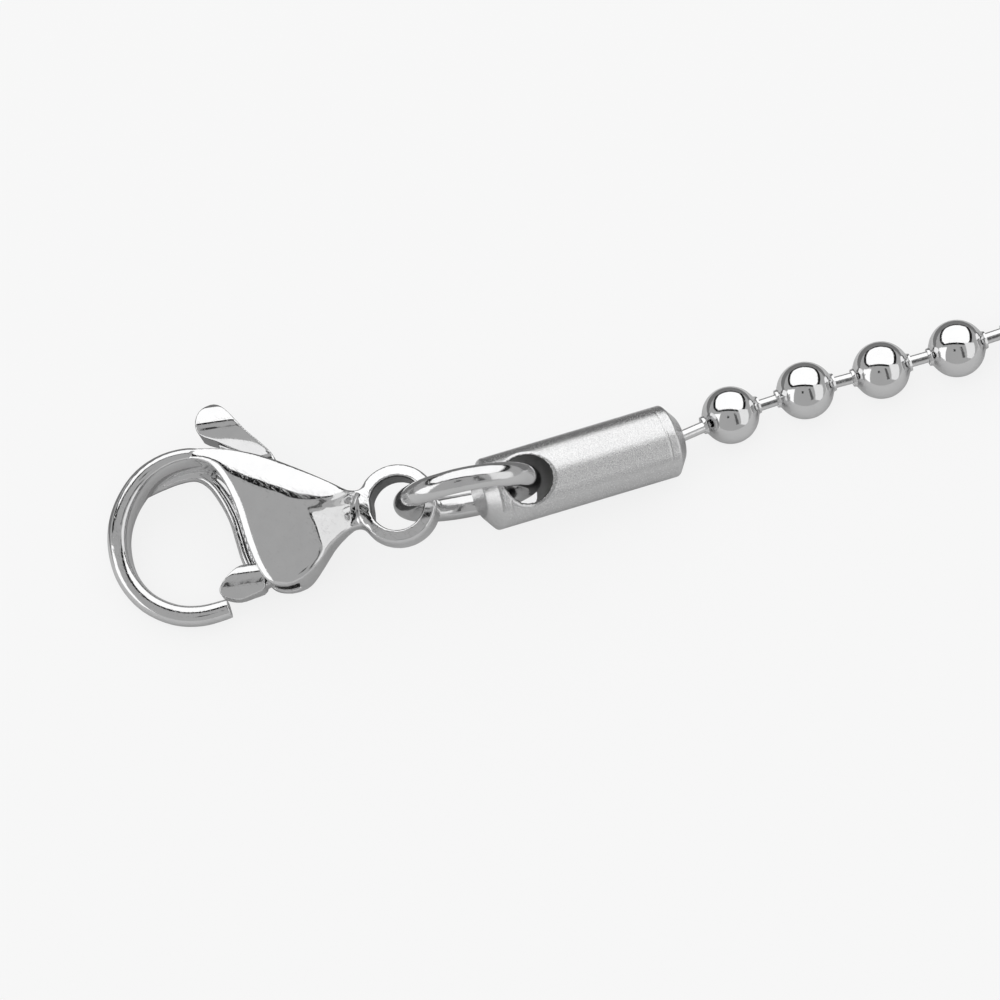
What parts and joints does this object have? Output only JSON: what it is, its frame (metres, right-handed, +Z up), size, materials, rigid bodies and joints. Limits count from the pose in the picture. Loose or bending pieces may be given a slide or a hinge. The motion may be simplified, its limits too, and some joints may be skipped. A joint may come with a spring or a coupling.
{
  "type": "ball chain necklace",
  "caption": "Unfastened neck chain of hollow beads joined by bars, with an end tube and a jump ring at each end and a lobster clasp on one of them.",
  "frame": {"origin": "under the middle of the open ring that the chain lies in, on the surface it lies on", "axes": "+Z up from that surface, +X along the pictured stretch from the clasp to the chain"},
  "size_m": [0.1484, 0.1562, 0.0064],
  "materials": {
    "polished_steel": "mirror-polished stainless steel",
    "satin_steel": "satin turned stainless steel"
  },
  "bodies": {
    "necklace": {"clasp_body": "polished_steel", "clasp_pin": "polished_steel", "clasp_ring": "polished_steel", "clasp_end_tube": "satin_steel", "ball_chain": "polished_steel", "free_end_tube": "satin_steel", "free_ring": "polished_steel"},
    "lever": {"clasp_lever": "polished_steel"}
  },
  "joints": [
    {"name": "clasp_lever", "type": "hinge", "parent": "necklace", "child": "lever", "pos_m": [-0.00549, -0.0749, 0.00187], "axis": [0.1267, 0.2193, -0.9674], "range_deg": [0, 18], "stiffness_Nm_per_rad": 0.01, "springref_deg": -17.19}
  ]
}
